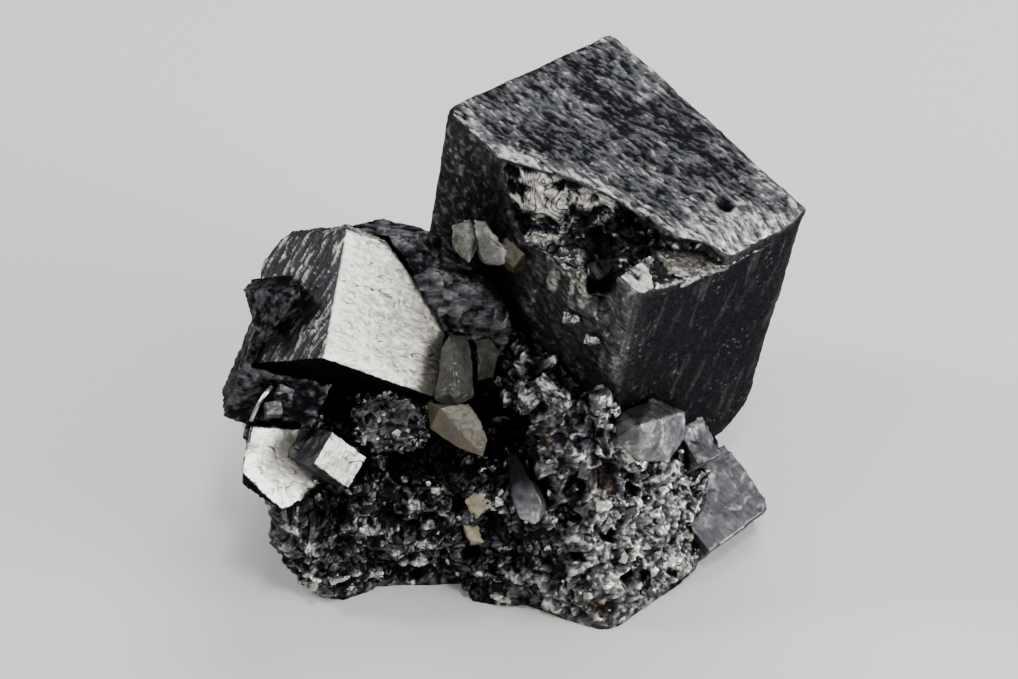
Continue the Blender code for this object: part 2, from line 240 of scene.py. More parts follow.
def nearest_cells(points, size, seed):
    """As cells, with the way from the nearest point too."""
    points = points / np.asarray(size)
    base = np.floor(points).astype(np.int64)
    near = np.full(len(points), 9.0)
    name = np.zeros(len(points))
    way = np.zeros((len(points), 3))
    for corner in itertools.product((-1, 0, 1), repeat=3):
        cell = base + np.array(corner)
        apart = points - cell - np.stack([hashed(cell, seed + k) for k in (11, 23, 37)], axis=1)
        far = np.linalg.norm(apart, axis=1)
        nearer = far < near
        name = np.where(nearer, hashed(cell, seed + 51), name)
        way = np.where(nearer[:, None], apart, way)
        near = np.where(nearer, far, near)
    return near, name, way


def facets(points, size, seed):
    """Flat broken faces that each lean their own way, from about -1 to 1."""
    _, name, way = nearest_cells(points, size, seed)
    number = np.stack([np.floor(name * 99991).astype(np.int64)] * 3, axis=1)
    slope = np.stack([hashed(number + k, seed + k) for k in (1, 2, 3)], axis=1) - 0.5
    return 0.8 * (name - 0.5) + 2.4 * np.sum(slope * way, axis=1)


def ramp(low, high, value):
    """0 below low, 1 above high and a smooth rise between."""
    t = np.clip((value - low) / (high - low), 0, 1)
    return t * t * (3 - 2 * t)


# ---- meshes ----


def axes_of(node):
    """The crystal's own axes as a 3x3 array whose columns are its X, Y and Z in the row frame."""
    return np.array(Euler([math.radians(a) for a in TURNS.get(node, (0, 0, 0))]).to_matrix())


def own_copy(node):
    """A merged bmesh copy of a frame node, turned into the crystal's own axes."""
    bm = bmesh.new()
    bm.from_mesh(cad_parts[node].data)
    bmesh.ops.remove_doubles(bm, verts=bm.verts, dist=1e-6)
    turn = Matrix(axes_of(node)).to_4x4()
    bmesh.ops.transform(bm, matrix=turn.inverted(), verts=bm.verts)
    return bm


def remeshed(name, bm, grain):
    """An object whose skin is an even fine mesh over the shape of bm."""
    mesh = bpy.data.meshes.new(name)
    bm.to_mesh(mesh)
    bm.free()
    made = bpy.data.objects.new(name, mesh)
    bpy.context.scene.collection.objects.link(made)
    modifier = made.modifiers.new("even skin", "REMESH")
    modifier.mode = "VOXEL"
    modifier.voxel_size = grain
    graph = bpy.context.evaluated_depsgraph_get()
    fine = bpy.data.meshes.new_from_object(made.evaluated_get(graph))
    made.modifiers.clear()
    made.data = fine
    bpy.data.meshes.remove(mesh)
    fine.name = name
    return made


def points_and_normals(mesh):
    """The mesh's points in millimetres and its vertex normals, as arrays."""
    points = np.empty(len(mesh.vertices) * 3)
    mesh.vertices.foreach_get("co", points)
    normals = np.empty(len(mesh.vertices) * 3)
    mesh.vertex_normals.foreach_get("vector", normals)
    return points.reshape(-1, 3) / MM, normals.reshape(-1, 3)


def set_points(mesh, points):
    """Moves the mesh's points to these, in millimetres."""
    mesh.vertices.foreach_set("co", (points * MM).ravel())
    mesh.update()


def paint(mesh, lustre, growth=None):
    """Stores what the materials read at each point, while the mesh is still in the crystal's own axes.

    lustre goes from 0, tarnished, to 1, fresh, and the skins also paint shade, glints and light into
    it. A dark growth line runs wherever the growth level passes a half, one and a half and so on.
    own_axes is the point's place.
    """
    if growth is None:
        growth = np.zeros(len(lustre))
    for name, values in (("growth", growth), ("lustre", np.clip(lustre, 0, 1))):
        layer = mesh.attributes.new(name, "FLOAT", "POINT")
        layer.data.foreach_set("value", values.astype(np.float32))
    layer = mesh.attributes.new("own_axes", "FLOAT_VECTOR", "POINT")
    places = np.empty(len(mesh.vertices) * 3, np.float32)
    mesh.vertices.foreach_get("co", places)
    layer.data.foreach_set("vector", places)


def finish_piece(piece, material, slot, *nodes, smooth=True):
    """Turns a piece back from the crystal's axes and hands it to the frame."""
    turn = Matrix(axes_of(nodes[0])).to_4x4() if nodes else Matrix()
    piece.data.transform(turn)
    piece.data.polygons.foreach_set("use_smooth", [smooth] * len(piece.data.polygons))
    piece.data.materials.clear()
    piece.data.materials.append(material)
    piece.data.update()
    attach(piece, "root")
    if nodes:
        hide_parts(*nodes)


# ---- materials ----

# The largest humps of the patterns that several finishes share, in millimetres.
MOTTLE_SIZE = 0.2
STAIN_SIZE = 2.5
CLOUD_SIZE = 0.9
FROST_SIZE = 0.25
WIRE_TINT_SIZE = 0.3
QUARTZ_IOR = 1.54


def add_node(tree, kind, settings=None, links=None):
    """Adds a shader node, sets its properties or inputs, and links inputs from (node, output) pairs."""
    made = tree.nodes.new(kind)
    for key, value in (settings or {}).items():
        if isinstance(key, str) and hasattr(made, key):
            setattr(made, key, value)
        else:
            made.inputs[key].default_value = value
    for key, (source, output) in (links or {}).items():
        tree.links.new(source.outputs[output], made.inputs[key])
    return made


def set_ramp(node, stops):
    """Gives a colour ramp its stops, each a position and a hex or linear colour."""
    while len(node.color_ramp.elements) < len(stops):
        node.color_ramp.elements.new(0.5)
    for element, (position, colour) in zip(node.color_ramp.elements, stops):
        element.position = position
        element.color = linear(colour) if isinstance(colour, str) else (*colour, 1.0)


def new_material(name):
    """A Principled material and its node tree, shader and texture coordinates."""
    made = bpy.data.materials.new(name)
    made.use_nodes = True
    tree = made.node_tree
    shader = tree.nodes["Principled BSDF"]
    where = add_node(tree, "ShaderNodeTexCoord")
    return made, tree, shader, where


def metal(name, roughness, flake, flake_size, relief, relief_size, uneven, stain=None, fresh=None):
    """Acanthite: metallic silver sulphide whose lustre attribute chooses tarnished or fresh metal, and also
    carries painted shade and painted light.

    Long little facets of flake_size lean by flake, and relief runs along the crystal in humps of
    relief_size, with the sizes and the relief in millimetres. uneven breaks up the lustre, stain is
    a colour that lies in patches, and fresh is the bright metal's colour where it isn't the usual.
    """
    made, tree, shader, where = new_material(name)
    colours = bpy.context.scene.acanthite_colours
    shader.inputs["Metallic"].default_value = 1.0
    # Tarnish doesn't brighten towards the edge of view as clean metal does.
    shader.inputs["Specular Tint"].default_value = linear("#b4b4b6")
    own = add_node(tree, "ShaderNodeAttribute", {"attribute_name": "own_axes"})
    lustre = add_node(tree, "ShaderNodeAttribute", {"attribute_name": "lustre"})
    # Every pattern is drawn out along the crystal's X.
    along = add_node(tree, "ShaderNodeMapping", {"Scale": (0.4, 1.0, 1.0)}, {"Vector": (own, "Vector")})
    # Real tarnish mottles more finely than this, and this is as coarse as it needs to be to show.
    mottle = add_node(
        tree,
        "ShaderNodeTexNoise",
        {"Scale": 1 / (MOTTLE_SIZE * MM), "Detail": 8.0, "Roughness": 0.8},
        {"Vector": (along, 0)},
    )
    spread = add_node(
        tree,
        "ShaderNodeMath",
        {"operation": "MULTIPLY_ADD", 1: uneven, 2: -uneven / 2},
        {0: (mottle, 0)},
    )
    # Tarnish stays even, and the brighter metal is the most broken up.
    share = add_node(
        tree, "ShaderNodeMapRange", {"From Max": 0.4, "To Min": 0.15}, {"Value": (lustre, "Fac")}
    )
    broken = add_node(tree, "ShaderNodeMath", {"operation": "MULTIPLY"}, {0: (spread, 0), 1: (share, 0)})
    # Tarnish gathers in the growth lines, so they're dark.
    growth = add_node(tree, "ShaderNodeAttribute", {"attribute_name": "growth"})
    turn = add_node(tree, "ShaderNodeMath", {"operation": "MULTIPLY", 1: math.pi}, {0: (growth, "Fac")})
    wave = add_node(tree, "ShaderNodeMath", {"operation": "SINE"}, {0: (turn, 0)})
    height = add_node(tree, "ShaderNodeMath", {"operation": "ABSOLUTE"}, {0: (wave, 0)})
    line = add_node(
        tree,
        "ShaderNodeMapRange",
        {"From Min": 0.86, "From Max": 1.0, "To Max": 0.6},
        {"Value": (height, 0)},
    )
    lined = add_node(tree, "ShaderNodeMath", {"operation": "SUBTRACT"}, {0: (lustre, "Fac"), 1: (line, 0)})
    level = add_node(tree, "ShaderNodeMath", {"operation": "ADD"}, {0: (lined, 0), 1: (broken, 0)})
    tone = add_node(tree, "ShaderNodeValToRGB", {}, {0: (level, 0)})
    set_ramp(tone, [(0.0, colours.tarnish_and_shade), (0.5, colours.worn), (1.0, fresh or colours.fresh)])
    colour = tone
    if stain:
        patch = add_node(
            tree,
            "ShaderNodeTexNoise",
            {"Scale": 1 / (STAIN_SIZE * MM), "Detail": 4.0},
            {"Vector": (where, "Object")},
        )
        edge = add_node(
            tree,
            "ShaderNodeMapRange",
            {"From Min": 0.55, "From Max": 0.75, "To Max": 0.7},
            {"Value": (patch, 0)},
        )
        colour = add_node(
            tree,
            "ShaderNodeMix",
            {"data_type": "RGBA", 7: linear(stain)},
            {0: (edge, 0), 6: (tone, "Color")},
        )
    tree.links.new(colour.outputs[2 if stain else 0], shader.inputs["Base Color"])
    polish = add_node(
        tree, "ShaderNodeMapRange", {"To Min": roughness[0], "To Max": roughness[1]}, {"Value": (mottle, 0)}
    )
    tree.links.new(polish.outputs[0], shader.inputs["Roughness"])
    # Each flake's random colour tilts the surface there.
    flakes = add_node(tree, "ShaderNodeTexVoronoi", {"Scale": 1 / (flake_size * MM)}, {"Vector": (along, 0)})
    lean = add_node(
        tree,
        "ShaderNodeVectorMath",
        {"operation": "MULTIPLY_ADD", 1: (flake, flake, flake), 2: (-flake / 2, -flake / 2, -flake / 2)},
        {0: (flakes, "Color")},
    )
    shared = add_node(
        tree, "ShaderNodeVectorMath", {"operation": "SCALE"}, {0: (lean, 0), "Scale": (share, 0)}
    )
    solid = add_node(tree, "ShaderNodeNewGeometry")
    tilted = add_node(
        tree, "ShaderNodeVectorMath", {"operation": "ADD"}, {0: (solid, "Normal"), 1: (shared, 0)}
    )
    unit = add_node(tree, "ShaderNodeVectorMath", {"operation": "NORMALIZE"}, {0: (tilted, 0)})
    grain = add_node(
        tree,
        "ShaderNodeTexNoise",
        {"Scale": 1 / (relief_size * MM), "Detail": 6.0, "Roughness": 0.7},
        {"Vector": (along, 0)},
    )
    bump = add_node(
        tree,
        "ShaderNodeBump",
        {"Strength": 1.0, "Distance": relief * MM},
        {"Height": (grain, 0), "Normal": (unit, 0)},
    )
    tree.links.new(bump.outputs[0], shader.inputs["Normal"])
    return made


def stone(name, stops, roughness, clear, relief):
    """Quartz or calcite: a stone with cloudy colour that lets a share of the light through.

    clear is that share, roughness runs with the clouds, and relief is in millimetres.
    """
    made, tree, shader, where = new_material(name)
    shader.inputs["IOR"].default_value = QUARTZ_IOR
    shader.inputs["Transmission Weight"].default_value = clear
    cloud = add_node(
        tree,
        "ShaderNodeTexNoise",
        {"Scale": 1 / (CLOUD_SIZE * MM), "Detail": 6.0, "Roughness": 0.6},
        {"Vector": (where, "Object")},
    )
    tone = add_node(tree, "ShaderNodeValToRGB", {}, {0: (cloud, 0)})
    set_ramp(tone, stops)
    tree.links.new(tone.outputs["Color"], shader.inputs["Base Color"])
    polish = add_node(
        tree, "ShaderNodeMapRange", {"To Min": roughness[0], "To Max": roughness[1]}, {"Value": (cloud, 0)}
    )
    tree.links.new(polish.outputs[0], shader.inputs["Roughness"])
    grain = add_node(
        tree,
        "ShaderNodeTexNoise",
        {"Scale": 1 / (FROST_SIZE * MM), "Detail": 6.0, "Roughness": 0.7},
        {"Vector": (where, "Object")},
    )
    bump = add_node(
        tree, "ShaderNodeBump", {"Strength": 1.0, "Distance": relief * MM}, {"Height": (grain, 0)}
    )
    tree.links.new(bump.outputs[0], shader.inputs["Normal"])
    return made


FINISHES = {}


def make_finishes():
    """All the materials, made once."""
    # Grown in steps and tarnished since: near-black, with glints where tiny flakes catch the light
    # and dull grey silver wherever it has been rubbed.
    FINISHES["growth face"] = metal(
        "tarnished acanthite, grown face",
        roughness=(0.3, 0.6),
        flake=0.5,
        flake_size=0.13,
        relief=0.045,
        relief_size=0.16,
        uneven=1.6,
    )
    # Grown smooth: a soft even sheen with hardly any sparkle.
    FINISHES["satin face"] = metal(
        "satin acanthite, grown face",
        roughness=(0.35, 0.55),
        flake=0.16,
        flake_size=0.2,
        relief=0.03,
        relief_size=0.3,
        uneven=0.7,
    )
    # Grown flat and untarnished, and painted nearly white as the reflection of the light it faces: pale
    # silver with a fine frosting, so it is bright from any side.
    FINISHES["bright face"] = metal(
        "fresh acanthite, grown face",
        roughness=(0.42, 0.6),
        flake=0.2,
        flake_size=0.16,
        relief=0.02,
        relief_size=0.14,
        uneven=0.8,
    )
    # The flattest and freshest of all, and painted whiter still as the reflection of the light it faces:
    # nearly white, with only faint flaws.
    FINISHES["plate face"] = metal(
        "fresh acanthite, flat plate",
        roughness=(0.45, 0.6),
        flake=0.12,
        flake_size=0.16,
        relief=0.012,
        relief_size=0.14,
        uneven=0.5,
        fresh="#f7f4ea",
    )
    # A crust of tiny crystals: hard bright sparks on black, with earthy brown lodged in places.
    FINISHES["druse"] = metal(
        "acanthite druse, hackly",
        roughness=(0.15, 0.45),
        flake=0.5,
        flake_size=0.22,
        relief=0.04,
        relief_size=0.15,
        uneven=1.4,
        stain="#33291f",
    )
    # Grown clear and then clouded: grey-brown, glossy, and a little light goes in.
    FINISHES["smoky"] = stone(
        "smoky quartz, grown",
        [(0.3, "#31302c"), (0.6, "#5e5c56"), (0.8, "#8b8981")],
        roughness=(0.05, 0.3),
        clear=0.4,
        relief=0.02,
    )
    # Freshly broken: wet-looking grey with pale curved glints.
    FINISHES["glassy"] = stone(
        "quartz, broken and glassy",
        [(0.3, "#383733"), (0.5, "#6b6a64"), (0.7, "#b4b3ab")],
        roughness=(0.02, 0.18),
        clear=0.3,
        relief=0.05,
    )
    # Etched and stained by iron: dull tan, darker in cloudy patches.
    FINISHES["tan"] = stone(
        "iron-stained quartz, frosted",
        [(0.3, "#2b2619"), (0.55, "#483f2b"), (0.8, "#6b5f43")],
        roughness=(0.3, 0.55),
        clear=0.2,
        relief=0.03,
    )
    # Broken along grains: chalky cream with no shine.
    FINISHES["cream"] = stone(
        "calcite, broken",
        [(0.3, "#6b6450"), (0.7, "#b5ad90")],
        roughness=(0.5, 0.7),
        clear=0.0,
        relief=0.05,
    )


# ---- worked skins ----

SUNK = 0.04  # how far a small crystal's skin lies under its solid's, so that its relief evens out


def worn_edges(points, half, depth, seed):
    """How far a box-shaped crystal's skin lies back, and the distance to its nearest edge."""
    inset = np.sort(half - np.abs(points), axis=1)
    edge = np.clip(inset[:, 1], 0, None)
    chips = 0.7 + 0.6 * rough(points, 1.6, 3, seed)
    return -depth * np.exp(-edge / 0.3) * np.clip(chips, 0.1, 2), edge


def curled(points, size, depth, seed):
    """Points pushed about by smooth noise, so that a pattern read there swirls."""
    return points + depth * np.stack([rough(points, size, 2, seed + 3 * k) for k in range(3)], axis=1)


def lay_large_cube(points, normals, wear):
    """Skin of the large cube: new points, lustre and growth level."""
    x, y, z = points.T
    inset = np.min(LARGE_HALF - np.abs(points), axis=1)
    hollow = ramp(0.12, 0.35, inset) * ramp(3.6, 4.4, z) * ramp(-5.0, -4.4, x) * ramp(5.9, 5.3, y)
    top = ramp(0.6, 0.9, normals[:, 2]) * (1 - hollow)
    side = (1 - ramp(0.3, 0.7, np.abs(normals[:, 2]))) * (1 - hollow)
    shift, edge = worn_edges(points, LARGE_HALF, wear, 3)
    # The top: scales and streaks that run along the front left edge, with low steps and one pit.
    from_lip = y - np.interp(x, LIP_X, LIP_Y)
    along = curled(np.stack([x + 0.15 * y, y - 0.15 * x, z], axis=1), 1.5, 0.25, 5)
    streaks = ridges(along, (1.7, 0.35, 2.0), 4, 21)
    scales = facets(along, (1.0, 0.35, 1.0), 31)
    step = rough(points, (3.5, 2.0, 3.0), 3, 41) * 3
    step = (np.floor(step) + ramp(0.75, 1.0, step - np.floor(step))) / 3
    strip = np.exp(-np.clip(from_lip, 0, None) / 1.5)
    flecks = facets(along, (0.55, 0.2, 0.55), 37)
    scaly = (0.05 + 0.07 * strip) * scales
    shift += top * (0.12 * (streaks - 0.5) + scaly + 0.04 * flecks + 0.12 * step)
    pit = np.linalg.norm((points - np.array((6.0, 2.5, TOP_Z))) / (0.5, 0.4, 3), axis=1)
    shift += top * (0.06 * np.exp(-((pit - 1.5) ** 2) * 6) - 0.55 * np.exp(-(pit**2) * 1.6))
    lens = np.linalg.norm((points - np.array((-0.3, 0.7, TOP_Z))) / (1.3, 0.35, 3), axis=1)
    shift += top * 0.16 * ramp(1.1, 0.8, lens)
    # The sides: nearly smooth, with faint furrows.
    furrows = ridges(curled(points, 2, 0.6, 7), (2.0, 2.0, 0.5), 3, 61)
    wavy = 0.08 * rough(points, 2.0, 4, 51)
    shift += side * (wavy + 0.04 * (furrows - 0.5) + 0.03 * facets(points, 0.6, 55))
    # The hollow: crumpled like foil where it is shallow, broken into facets where it is deep.
    swirl = curled(points, 1.5, 0.8, 71)
    crease = ridges(swirl, (1.5, 1.1, 1.1), 4, 81)
    bands = rough(swirl, 1.2, 2, 85)
    broken = facets(points, 0.9, 91)
    fine = facets(points, 0.4, 95)
    reach = 0.8 + 2.6 * ramp(7.0, 8.6, z)
    foil = hollow * ramp(reach + 0.5, reach - 0.5, x)
    shelf = hollow * ramp(5.4, 6.2, x + 0.3 * broken) * ramp(8.5, 8.1, z)
    slot = np.zeros(len(points))
    for place, radius in CLEFT:
        far = np.linalg.norm(points - np.array(place), axis=1) / radius
        slot = np.maximum(slot, np.exp(-(far**4)))
    deep = hollow * (1 - shelf) * (1 - foil)
    shift -= 1.0 * slot * (1 - foil)
    shift += foil * (1.0 * (crease - 0.55) + 0.08 * broken)
    shift += deep * (0.28 * broken + 0.09 * fine)
    shift += shelf * (0.12 * rough(points, 1.2, 3, 99) + 0.05 * fine)
    # The left side below the hollow is wavy.
    left = side * ramp(0.6, 0.9, -normals[:, 1]) * ramp(-4.0, 0.0, x)
    shift += left * (0.35 * rough(points, (2.5, 2.0, 4.0), 3, 111) + 0.1 * facets(points, 1.2, 115))
    # Lustre.
    # Painted glints: scattered bright specks on the sides.
    painted_glints = ramp(0.93, 0.98, hashed(np.floor(points / 0.16).astype(np.int64), 9))
    painted_glints *= ramp(-0.2, 0.5, rough(points, 2.0, 2, 8))
    slanting = np.stack([x + y, y - 0.3 * z, z + 0.3 * y], axis=1)
    smears = ramp(0.1, 0.7, rough(slanting, (0.5, 0.5, 2.2), 4, 119))
    upper_left = ramp(0.6, 0.9, -normals[:, 1]) * ramp(-3.0, -5.0, x)
    rim = np.exp(-edge / 0.5)
    worn = 0.16 + 0.36 * strip + 0.32 * ramp(3.0, 8.0, x) + 0.1 * ramp(-5.5, -8.5, x) + 0.12 * rim
    worn += 0.3 * rough(points, (5.0, 2.0, 4.0), 3, 101) + 0.6 * (streaks - 0.5) + 0.25 * scales
    worn += 0.36 * flecks + 0.1 * ramp(0.2, 0.7, rough(along, (1.2, 0.3, 1.0), 2, 39))
    worn += 0.25 * np.exp(-((pit - 1.5) ** 2) * 3) - 1.2 * np.exp(-(pit**2))
    worn += 0.3 * ramp(0.5, 0.1, np.abs(from_lip - 0.2)) * ramp(-4.5, -3.5, x)
    crests = 0.08 * ramp(0.85, 0.97, furrows)
    shade = side * (0.035 + 0.45 * painted_glints + 0.14 * smears + crests + 0.08 * rim)
    shade += side * upper_left * (0.03 + 0.35 * ramp(0.2, 0.6, facets(points, 0.5, 121)))
    shade += top * (worn - 0.03)
    # Painted light and shade on the left side below the hollow: it is lifted to grey where the hollow's
    # overhang shades it, and its foot is painted darker as shade above the gap at the druse.
    low = ramp(0.6, 0.9, -normals[:, 1]) * ramp(-1.0, -3.0, z)
    wisps = 0.4 * ramp(0.1, 0.5, rough(points, (0.8, 1.0, 2.5), 4, 117))
    shade += left * (0.26 + wisps) * (1 - low) - 0.1 * low
    shade += (1 - side) * (1 - top) * (1 - hollow) * 0.12
    # The foil's darkening: painted shade down in its creases, and dark patches of tarnish.
    tarnish_and_shade = 1.1 * ramp(0.6, 0.35, crease) + 0.9 * ramp(0.1, 0.4, rough(points, 1.3, 2, 87))
    inside = foil * (0.95 - tarnish_and_shade + 0.3 * broken)
    # The deep part has painted glints on its fine facets, and the shelf is painted bright as light falling
    # on it.
    inside += deep * (0.04 + 0.7 * ramp(0.5, 0.7, fine)) + shelf * (1.05 + 0.2 * fine)
    # Painted glints on the broken facets along the hollow's front rim.
    painted_rim_glints = (deep + left) * ramp(-4.9, -5.5, y) * ramp(8.6, 8.0, z)
    painted_rim_glints *= ramp(1.6, 2.4, x) * ramp(6.8, 5.8, x)
    painted_rim_glints *= ramp(5.6 - 0.8 * ramp(4.0, 6.0, x), 6.2, z + 0.8 * broken)
    inside += painted_rim_glints * (0.1 + 0.75 * ramp(0.0, 0.3, fine + 0.5 * broken))
    # Growth lines: swirls in the foil, and lines along the lip.
    growth = foil * 5.5 * bands + top * 1.3 * strip * rough(along, (3.0, 0.4, 1.0), 3, 91)
    # The cleft is painted black as shade, outside the foil.
    lustre = (shade + inside) * (1 - slot * (1 - foil))
    return droop(points + normals * shift[:, None]), lustre, growth


def droop(points):
    """The top layer of the large cube hangs a little over the hollow's right end."""
    x, y, z = points.T
    moved = points.copy()
    lip_end = ramp(7.2, 8.9, x) * ramp(-1.5, 0.5, y) * ramp(6.6, 4.8, y) * ramp(7.6, 9.2, z)
    moved[:, 2] -= 0.75 * lip_end
    return moved


def cracks_of(points, seed):
    """Short upright cracks from 0 to 1, and a growth level with hairline cracks across Z."""
    along = curled(points, 1.0, 0.2, seed)
    level = np.clip(0.5 + 7 * rough(along, (3.0, 2.0, 0.7), 3, seed + 2), 0, 1)
    level *= rough(points, (1.6, 1.6, 1.0), 2, seed + 6) > -0.1
    upright = ramp(0.03, 0.01, np.abs(rough(along, (0.9, 2.0, 2.8), 3, seed + 8)))
    return upright * ramp(0.0, 0.3, rough(points, 1.5, 2, seed + 4)), level


def lay_left_cube(points, normals, wear, half, ragged):
    """Skin of a cube whose front face is fresh and painted bright as a reflection, and whose other faces are
    tarnished and furrowed, with painted glints along their furrows.
    """
    x, y, z = points.T
    shift, edge = worn_edges(points, half, wear * 0.6, 13)
    bright = ramp(0.75, 0.95, -normals[:, 1]) * ramp(0.5, 0.2, half[1] + y)
    bevel = ramp(0.2, 0.45, -normals[:, 1]) * ramp(0.5, 0.7, normals[:, 2]) * (1 - bright)
    dark = 1 - bright
    cracks, growth = cracks_of(points, 21)
    pits = ramp(0.2, 0.05, cells(points, 0.5, 33)[0])
    shift += bright * (0.04 * rough(points, 1.5, 4, 43) - 0.04 * cracks - 0.05 * pits)
    shift += bright * 0.02 * facets(points, (0.7, 0.7, 0.35), 47)
    shift -= 3 * ragged * np.exp(-edge / 0.5) * ramp(-0.2, 0.5, rough(points, 1.1, 3, 49))
    run = 0.82 * z - 0.57 * y
    across = 0.82 * y + 0.57 * z
    grain = curled(np.stack([x, run, across], axis=1), 1.4, 0.15, 57)
    furrows = ridges(grain, (0.8, 2.2, 0.26), 3, 53)
    glints = facets(grain, (0.3, 0.8, 0.2), 63)
    shift += dark * (0.11 * (furrows - 0.5) + 0.06 * glints + 0.12 * rough(points, 1.8, 2, 65))
    bars = ridges(points, (0.4, 3.0, 3.0), 2, 67)
    # Painted reflection: the front face is painted nearly white, whiter still where it is ragged.
    shade = bright * (0.95 + ragged + 0.1 * rough(points, 1.4, 4, 73) - 0.45 * cracks - 0.4 * pits)
    lit = 0.22 + 0.9 * ramp(0.5, 0.75, furrows) * ramp(-0.4, 0.4, glints)
    shade += dark * lit * ramp(-0.95, -0.6, normals[:, 2])
    shade += bevel * (0.15 + 0.6 * ramp(0.45, 0.75, bars))
    return points + normals * shift[:, None], shade, np.where(bright > 0.9, growth, 0)


def lay_plain(points, normals, seed, lustre, relief, grain):
    """Skin of a small crystal: rough by relief in humps of grain, with lustre from dull to bright that
    paints shade in its hollows and highlights on its raised parts.
    """
    lumps = rough(points, grain * 1.5, 4, seed)
    along = curled(points, grain, 0.2, seed + 3)
    lines = ridges(along, (grain * 1.8, grain * 0.4, grain * 0.4), 3, seed + 9)
    broken = facets(points, grain * 0.7, seed + 5)
    shift = relief * (0.7 * lumps + 0.5 * broken + 0.5 * (lines - 0.5)) - SUNK
    # Painted light and shade: raised parts are painted brighter as highlights, hollows darker as shade.
    raised = ramp(-0.6, 0.7, 0.6 * broken + 0.6 * lumps + (lines - 0.5))
    shade = lustre[0] + (lustre[1] - lustre[0]) * raised
    return points + normals * shift[:, None], shade, None


def lay_prism(points, normals, seed, lustre, relief, grain):
    """Skin of a prism: tarnished along its length, with an end painted bright as a reflection and lined
    across.
    """
    end = ramp(0.6, 0.9, np.abs(normals[:, 2]))
    bars = ridges(curled(points, 1.0, 0.15, seed), (0.35, 2.5, 2.5), 3, seed + 9)
    lumps = rough(points, grain, 4, seed + 5)
    cracks, growth = cracks_of(points, seed + 11)
    broken = facets(points, grain, seed + 3)
    shift = relief * (0.7 * lumps + 0.8 * (bars - 0.5) + 0.4 * broken) - SUNK - 0.05 * cracks
    # Painted reflection: the ends are painted bright, the long sides dark.
    shade = lustre[0] * (1 - end) + end * lustre[1]
    shade += 0.5 * (bars - 0.5) + 0.25 * lumps - 0.5 * end * cracks
    return points + normals * shift[:, None], shade, np.where(end > 0.9, growth, 0)


def lay_tongue(points, normals, seed, lustre, relief, grain):
    """Skin of the smooth curved blade: it thins to rounded sides and is painted brightest at its low end, as
    light falling there.
    """
    middle = (points.min(axis=0) + points.max(axis=0)) / 2
    reach = (points.max(axis=0) - points.min(axis=0)) / 2
    near = (points - middle) / reach
    slim = (0.5 + 0.5 * ramp(-1.0, 0.3, near[:, 0])) * (1 - 0.5 * ramp(0.5, 1.0, near[:, 0]) ** 2)
    moved = middle + reach * near * np.stack([np.ones(len(points)), slim, slim], axis=1)
    moved += normals * (relief * rough(points, grain, 3, seed))[:, None]
    # Painted light: the blade is painted brighter towards its low end.
    shade = lustre[0] + (lustre[1] - lustre[0]) * ramp(-0.6, 0.9, near[:, 0])
    shade += 0.1 * rough(points, 0.6, 3, seed + 5)
    return moved, shade, None


# Deep holes in the front of the druse, sunk in and painted dark as shade: (place, radius) in millimetres.
DRUSE_HOLES = (
    ((5.9, -10.8, 9.8), 1.0),
    ((6.4, -11.9, 6.2), 0.8),
    ((3.9, -11.1, 8.9), 0.7),
    ((8.3, -11.6, 6.7), 0.5),
    ((4.4, -10.4, 11.6), 0.7),
    ((1.4, -10.6, 8.2), 1.0),
    ((-9.6, -6.6, 12.0), 1.7),
    ((-9.3, -7.9, 9.8), 1.3),
    ((-8.1, -8.8, 9.6), 1.1),
    ((-6.3, -8.7, 9.2), 1.3),
    ((-4.2, -8.2, 8.8), 1.4),
    ((-4.6, -6.7, 11.8), 1.2),
    ((-0.9, -5.0, 8.5), 2.4),
    ((-9.6, -11.4, 7.4), 0.9),
    ((-7.0, -10.6, 6.0), 0.7),
    ((-9.4, -11.9, 4.6), 0.9),
    ((-6.0, -11.6, 4.0), 0.6),
    ((-1.0, -10.8, 5.6), 0.9),
)


def freshness(points):
    """How much of the druse is bright: the front right lump most, the crest and the left least."""
    x, y, z = points.T
    right = ramp(0.0, 5.0, x) * ramp(-5.0, -8.0, y)
    upper = ramp(9.0, 10.5, z) * ramp(-7.5, -8.5, y) * ramp(1.0, 2.5, x)
    return 0.17 + 0.28 * right * ramp(13.8, 12.0, z) + 0.14 * upper - 0.05 * ramp(-4.0, -1.0, y)


